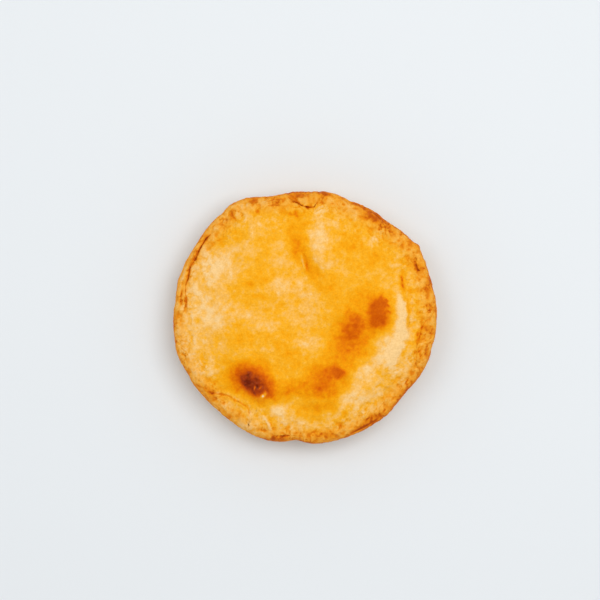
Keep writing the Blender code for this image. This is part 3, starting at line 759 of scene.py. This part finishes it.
# The dough is laid and drawn, then every point of it gets its fine relief and its colours.
PLACES = ("from_edge", "beyond_crease", "wall")
PAINTS = ("baked", "washed", "dry", "glaze_and_painted_glint", "tinned")
SAME_PLACE = 1e-5  # the base's last ring shrinks to one point
dough = bmesh.new()
bmesh.ops.create_grid(dough, x_segments=CRUST_SQUARES, y_segments=CRUST_SQUARES, size=1.0)
layers = {name: dough.verts.layers.float.new(name) for name in PLACES}
rim_edges = [edge for edge in dough.edges if edge.is_boundary]
for point in dough.verts:
    ring, angle = disc_place(point.co.x, point.co.y)
    point.co, from_edge, beyond_crease = formed_top(lid_ring_radius(ring), angle)
    point[layers["from_edge"]] = from_edge
    point[layers["beyond_crease"]] = beyond_crease
for blank_radius, height in wall_rings():
    drawn = bmesh.ops.extrude_edge_only(dough, edges=rim_edges)["geom"]
    rim_edges = [part for part in drawn if isinstance(part, bmesh.types.BMEdge) and part.is_boundary]
    for point in (part for part in drawn if isinstance(part, bmesh.types.BMVert)):
        angle = math.atan2(point.co.y, point.co.x)
        point.co = formed_side(blank_radius, angle, height)
        point[layers["wall"]] = 1.0
last_ring = [point for point in dough.verts if point.is_boundary]
bmesh.ops.remove_doubles(dough, verts=last_ring, dist=SAME_PLACE)
bmesh.ops.recalc_face_normals(dough, faces=dough.faces)
crust_mesh = bpy.data.meshes.new("crust")
dough.to_mesh(crust_mesh)
dough.free()
crust_mesh.shade_smooth()

from_edges, beyond_creases, walls = (
    [item.value for item in crust_mesh.attributes[name].data] for name in PLACES
)
normals = [point.normal.copy() for point in crust_mesh.vertices]
shares = {name: [0.0] * len(normals) for name in PAINTS}
for point, normal in zip(crust_mesh.vertices, normals):
    if walls[point.index] > 0.5:
        relief = wall_relief(point.co)
        paints = wall_painted(point.co)
    else:
        from_edge = from_edges[point.index]
        relief = top_relief(point.co, from_edge)
        paints = painted(point.co, from_edge, beyond_creases[point.index], relief)
    for name, share in zip(PAINTS, paints):
        shares[name][point.index] = share
    point.co += normal * relief
for name in PAINTS:
    crust_mesh.attributes.new(name, "FLOAT", "POINT")
    crust_mesh.attributes[name].data.foreach_set("value", shares[name])
crust = bpy.data.objects.new("crust", crust_mesh)
bpy.context.scene.collection.objects.link(crust)
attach(crust, "root")
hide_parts("pie")


# The crust's finish: shortcrust under an egg wash. The wash has a soft shine; the wall and the base
# lay against the tin and are matt, tan to brown.
# The colours at each degree of baking, under the wash and where the crust is dry:
BAKING = (
    (0.00, (0.905, 0.605, 0.270)),
    (0.15, (0.900, 0.488, 0.104)),
    (0.30, (0.895, 0.422, 0.021)),
    (0.44, (0.885, 0.370, 0.006)),
    (0.57, (0.860, 0.315, 0.0018)),
    (0.68, (0.805, 0.230, 0.0010)),
    (0.78, (0.690, 0.134, 0.0008)),
    (0.86, (0.554, 0.080, 0.0008)),
    (0.94, (0.330, 0.033, 0.0035)),
    (1.00, (0.150, 0.0075, 0.0010)),
)
DRY_BAKING = (
    (0.10, (0.905, 0.515, 0.165)),
    (0.28, (0.895, 0.440, 0.080)),
    (0.45, (0.862, 0.353, 0.032)),
    (0.60, (0.780, 0.250, 0.010)),
    (0.75, (0.650, 0.155, 0.005)),
    (0.90, (0.430, 0.068, 0.004)),
)
WALL_PALE, WALL_BROWN = (0.78, 0.450, 0.135), (0.57, 0.235, 0.045)
# Painted highlight: the glint on the burn is painted this pinkish white, shown between these shares.
PAINTED_GLINT_COLOUR, PAINTED_GLINT_SPAN = (0.90, 0.68, 0.48), (0.45, 0.95)  # it shows from this glazed share to that one
# The baking is mottled in four sizes (size, contrast), less where it is pale or brown (from, to,
# by how much), and more near the rim.
MOTTLING = ((0.018, 0.42), (0.0060, 0.42), (0.0030, 0.26), (0.0014, 0.16))
PALE_EVENNESS, BROWN_EVENNESS = (-0.05, 0.25, 0.5), (0.42, 0.75, 0.75)
NEAR_RIM, RIM_MOTTLING = (0.020, 0.004), 0.25
LEAST_DRY, MORE_DRY = 0.65, 0.35  # dryness comes and goes with the blotches
BETWEEN_LUMPS = (0.30, 0.70)  # noise in the hollows and on the lumps of a grain
CRUMB_SIZE, CRUMB_DETAIL, CRUMB_SHADE = 0.0010, 2.0, (0.91, 0.87, 0.80)
ROUGHNESS, WASH_GLOSS = 0.52, 0.12
WALL_ROUGHNESS, DRY_ROUGHNESS, FRECKLE_ROUGHNESS = 0.25, 0.2, 0.2
BUMP_SIZE, BUMP_DETAIL, FRECKLE_BUMP, RIM_BUMP = 0.0011, 4.0, 1.5, 0.9
BUMP_STRENGTH, BUMP_HEIGHT = 0.55, 0.0004
SHEEN, SHEEN_COLOUR = 0.20, (1.0, 0.66, 0.10)
GLAZE, GLAZE_ROUGHNESS = 0.8, 0.14

finish = bpy.data.materials.new("egg_washed_crust")
finish.use_nodes = True
tree = finish.node_tree
shader = tree.nodes["Principled BSDF"]


def node(kind, values=(), **settings):
    """A new node with its settings, its inputs set or linked."""
    made = tree.nodes.new("ShaderNode" + kind)
    for name, setting in settings.items():
        setattr(made, name, setting)
    for name, value in dict(values).items():
        if isinstance(value, bpy.types.NodeSocket):
            tree.links.new(value, made.inputs[name])
        else:
            made.inputs[name].default_value = value
    return made


def painted_share(name):
    return node("Attribute", attribute_name=name).outputs["Fac"]


def grain(size, detail=3.0):
    """Soft noise with lumps of a size in metres."""
    place = node("TexCoord").outputs["Object"]
    values = {"Vector": place, "Scale": 1.0 / size, "Detail": detail, "Roughness": 0.55}
    return node("TexNoise", values).outputs["Fac"]


def plus(first, second):
    return node("Math", {0: first, 1: second}, operation="ADD").outputs[0]


def minus(first, second):
    return node("Math", {0: first, 1: second}, operation="SUBTRACT").outputs[0]


def times(first, second):
    return node("Math", {0: first, 1: second}, operation="MULTIPLY").outputs[0]


def swing(grain_share, amount):
    """A grain counted from its middle, so that it adds as much as it takes off."""
    return times(minus(grain_share, 0.5), amount)


def spread(share, low, high):
    """A share from 0 at low to 1 at high, smoothly."""
    values = {"Value": share, "From Min": low, "From Max": high}
    return node("MapRange", values, interpolation_type="SMOOTHSTEP").outputs["Result"]


def blended(share, under, over, blend_type="MIX"):
    mix = node("Mix", data_type="RGBA", blend_type=blend_type, clamp_factor=True)
    for socket, value in zip((mix.inputs[0], mix.inputs[6], mix.inputs[7]), (share, under, over)):
        if isinstance(value, bpy.types.NodeSocket):
            tree.links.new(value, socket)
        else:
            socket.default_value = (*value, 1.0) if isinstance(value, tuple) else value
    return mix.outputs[2]


def baked_colour(share, stops):
    """The colour at a degree of baking."""
    ramp = node("ValToRGB", {"Fac": share})
    elements = ramp.color_ramp.elements
    for place, (at, brown) in enumerate(stops):
        stop = elements[place] if place < 2 else elements.new(at)
        stop.position = at
        stop.color = (*brown, 1.0)
    return ramp.outputs["Color"]


grains = [grain(size) for size, _ in MOTTLING]
_, _, blotches, freckles = grains
near_rim = spread(painted_share("from_edge"), *NEAR_RIM)
*pale_span, pale_evenness = PALE_EVENNESS
*brown_span, brown_evenness = BROWN_EVENNESS
mottled = minus(1.0, times(spread(painted_share("baked"), *brown_span), brown_evenness))
mottled = times(mottled, plus(1.0, times(near_rim, RIM_MOTTLING)))
pale_mottling = times(spread(painted_share("baked"), *pale_span), pale_evenness)
mottled = times(mottled, plus(1.0 - pale_evenness, pale_mottling))
mottling = 0.0
for spots, (_, contrast) in zip(grains, MOTTLING):
    mottling = plus(mottling, swing(spots, contrast))
baked = plus(painted_share("baked"), times(mottling, mottled))

dryness = plus(LEAST_DRY, times(spread(blotches, *BETWEEN_LUMPS), MORE_DRY))
dryness = times(painted_share("dry"), dryness)
colour = blended(dryness, baked_colour(baked, BAKING), baked_colour(baked, DRY_BAKING))
wall_colour = blended(spread(baked, 0.0, 1.0), WALL_PALE, WALL_BROWN)
colour = blended(painted_share("tinned"), colour, wall_colour)
crumb = node("ValToRGB", {"Fac": spread(grain(CRUMB_SIZE, CRUMB_DETAIL), *BETWEEN_LUMPS)})
crumb.color_ramp.elements[0].color = (*CRUMB_SHADE, 1.0)
colour = blended(1.0, colour, crumb.outputs["Color"], "MULTIPLY")
# Painted highlight: the glint on the burn, painted pinkish white over the crust's colour.
colour = blended(spread(painted_share("glaze_and_painted_glint"), *PAINTED_GLINT_SPAN), colour, PAINTED_GLINT_COLOUR)
tree.links.new(colour, shader.inputs["Base Color"])

roughness = minus(ROUGHNESS, times(painted_share("washed"), WASH_GLOSS))
roughness = plus(roughness, times(painted_share("wall"), WALL_ROUGHNESS))
roughness = plus(roughness, times(painted_share("dry"), DRY_ROUGHNESS))
roughness = plus(roughness, swing(freckles, FRECKLE_ROUGHNESS))
tree.links.new(roughness, shader.inputs["Roughness"])

crumbly = plus(grain(BUMP_SIZE, BUMP_DETAIL), times(freckles, FRECKLE_BUMP))
crumbly = times(crumbly, plus(1.0, times(near_rim, RIM_BUMP)))
bump = node("Bump", {"Strength": BUMP_STRENGTH, "Distance": BUMP_HEIGHT, "Height": crumbly})
tree.links.new(bump.outputs["Normal"], shader.inputs["Normal"])

tree.links.new(times(painted_share("glaze_and_painted_glint"), GLAZE), shader.inputs["Coat Weight"])
shader.inputs["Coat Roughness"].default_value = GLAZE_ROUGHNESS
shader.inputs["Specular IOR Level"].default_value = SHEEN
shader.inputs["Specular Tint"].default_value = (*SHEEN_COLOUR, 1.0)
crust_mesh.materials.append(finish)


# The studio: a pale sweep of card, a big soft light high on the right, a weaker one on the left.
CARD, CARD_ROUGHNESS = (0.745, 0.778, 0.802), 0.9
CARD_REACH = 3.0
KEY_PLACE, KEY_SIZE, KEY_POWER = (0.455, 0.237, 1.410), 0.95, 10.7
LEFT_PLACE, LEFT_SIZE, LEFT_POWER = (-0.610, 0.352, 1.324), 0.80, 4.5
card_mesh = bpy.data.meshes.new("card")
sheet = bmesh.new()
bmesh.ops.create_grid(sheet, x_segments=1, y_segments=1, size=CARD_REACH)
sheet.to_mesh(card_mesh)
sheet.free()
card = bpy.data.objects.new("card", card_mesh)
card_finish = bpy.data.materials.new("card")
card_finish.use_nodes = True
card_shader = card_finish.node_tree.nodes["Principled BSDF"]
card_shader.inputs["Base Color"].default_value = (*CARD, 1.0)
card_shader.inputs["Roughness"].default_value = CARD_ROUGHNESS
card_mesh.materials.append(card_finish)
bpy.context.scene.collection.objects.link(card)


def soft_light(name, place, size, power):
    """A square light, turned towards the pie."""
    light = bpy.data.lights.new(name, "AREA")
    light.size = size
    light.energy = power
    lamp = bpy.data.objects.new(name, light)
    lamp.location = place
    lamp.rotation_euler = (-Vector(place)).to_track_quat("-Z", "Y").to_euler()
    bpy.context.scene.collection.objects.link(lamp)


soft_light("key", KEY_PLACE, KEY_SIZE, KEY_POWER)
soft_light("left_sheen", LEFT_PLACE, LEFT_SIZE, LEFT_POWER)

# The studio's walls are bright and its ceiling is dim, so that the wash doesn't look milky.
# (how far up, from 0, level, to 1, straight up; brightness there)
BRIGHT_WALLS, DIM_CEILING = (0.35, 0.85), (0.85, 0.37)
world = bpy.data.worlds.new("studio")
world.use_nodes = True
sky = world.node_tree
direction = sky.nodes.new("ShaderNodeTexCoord")
split = sky.nodes.new("ShaderNodeSeparateXYZ")
walls_to_ceiling = sky.nodes.new("ShaderNodeMapRange")
walls_to_ceiling.inputs["From Min"].default_value = BRIGHT_WALLS[0]
walls_to_ceiling.inputs["To Min"].default_value = BRIGHT_WALLS[1]
walls_to_ceiling.inputs["From Max"].default_value = DIM_CEILING[0]
walls_to_ceiling.inputs["To Max"].default_value = DIM_CEILING[1]
sky.links.new(direction.outputs["Generated"], split.inputs["Vector"])
sky.links.new(split.outputs["Z"], walls_to_ceiling.inputs["Value"])
sky.links.new(walls_to_ceiling.outputs["Result"], sky.nodes["Background"].inputs["Strength"])
sky.nodes["Background"].inputs["Color"].default_value = (1.0, 1.0, 1.0, 1.0)
bpy.context.scene.world = world

# The camera looks straight down. A pixel of the photograph covers 0.605 mm at the rim, and the
# pie's middle lies 5 pixels to the right of the photograph's middle and 16.5 below it.
PHOTO_PIXELS = 600.0
METRES_PER_PIXEL = 0.000605
PIE_MIDDLE_PIXEL = (305.0, 316.5)
CAMERA_HEIGHT = 1.50
SENSOR_MM = 36.0
camera_data = bpy.data.cameras.new("camera")
camera_data.sensor_width = SENSOR_MM
camera_data.lens = SENSOR_MM * (CAMERA_HEIGHT - RIM_HEIGHT) / (PHOTO_PIXELS * METRES_PER_PIXEL)
camera = bpy.data.objects.new("camera", camera_data)
camera.location = (
    -(PIE_MIDDLE_PIXEL[0] - PHOTO_PIXELS / 2.0) * METRES_PER_PIXEL,
    (PIE_MIDDLE_PIXEL[1] - PHOTO_PIXELS / 2.0) * METRES_PER_PIXEL,
    CAMERA_HEIGHT,
)
bpy.context.scene.collection.objects.link(camera)
bpy.context.scene.camera = camera
bpy.context.scene.view_settings.view_transform = "Standard"
